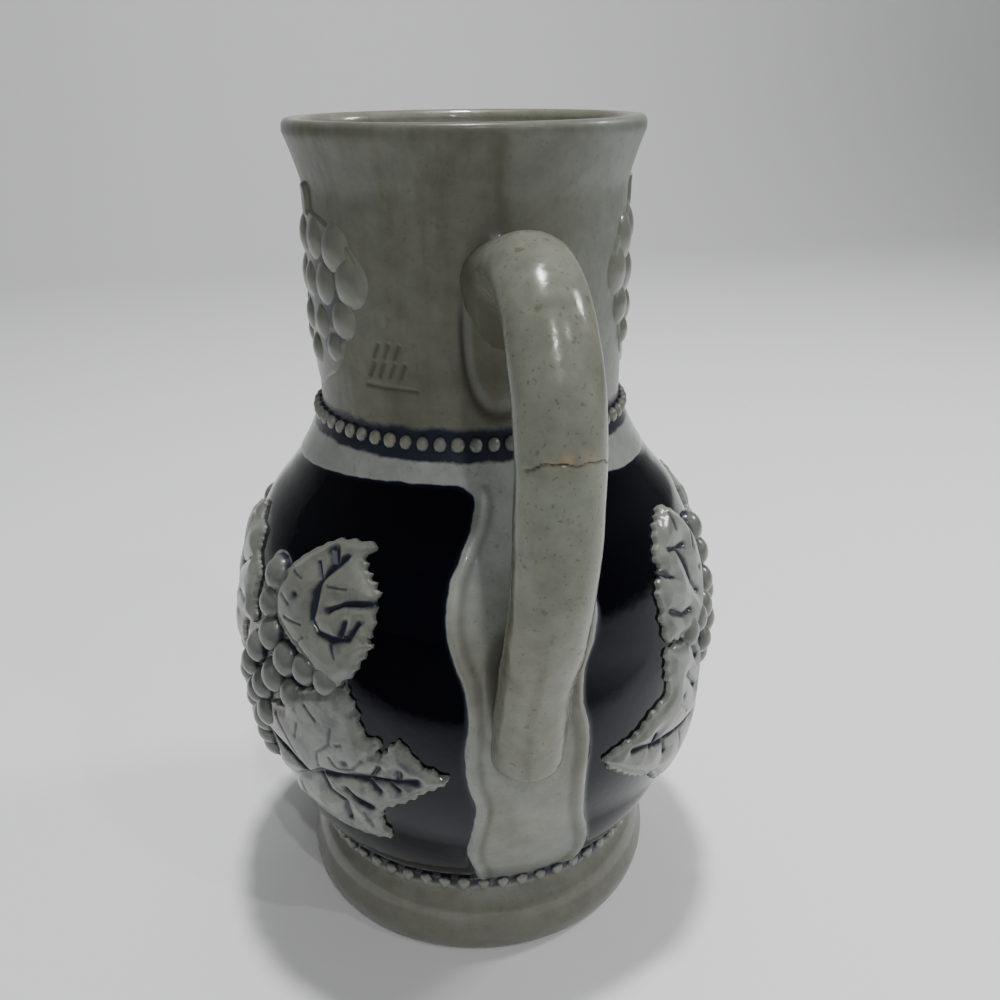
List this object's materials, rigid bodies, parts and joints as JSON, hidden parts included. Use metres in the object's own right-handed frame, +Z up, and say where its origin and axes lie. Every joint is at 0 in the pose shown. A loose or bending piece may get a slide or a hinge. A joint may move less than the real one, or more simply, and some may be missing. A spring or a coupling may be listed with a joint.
{
  "type": "stoneware jug",
  "caption": "Pot-bellied stoneware jug with a straight open neck, a side loop handle, bead bands and a moulded vine relief in grey, cobalt and black-blue glaze.",
  "frame": {"origin": "middle of the flat underside, on the jug's own axis, at the surface it stands on", "axes": "+Z up along the jug's axis towards the mouth, -Y towards the handle, +X to the right of someone who looks at the handle side"},
  "size_m": [0.1027, 0.1235, 0.165],
  "materials": {
    "glazed_stoneware": "salt-glazed grey stoneware with cobalt in the hollows and a glossy black-blue glaze on the belly's ground"
  },
  "bodies": {
    "root": {"jug": "glazed_stoneware"}
  },
  "joints": []
}
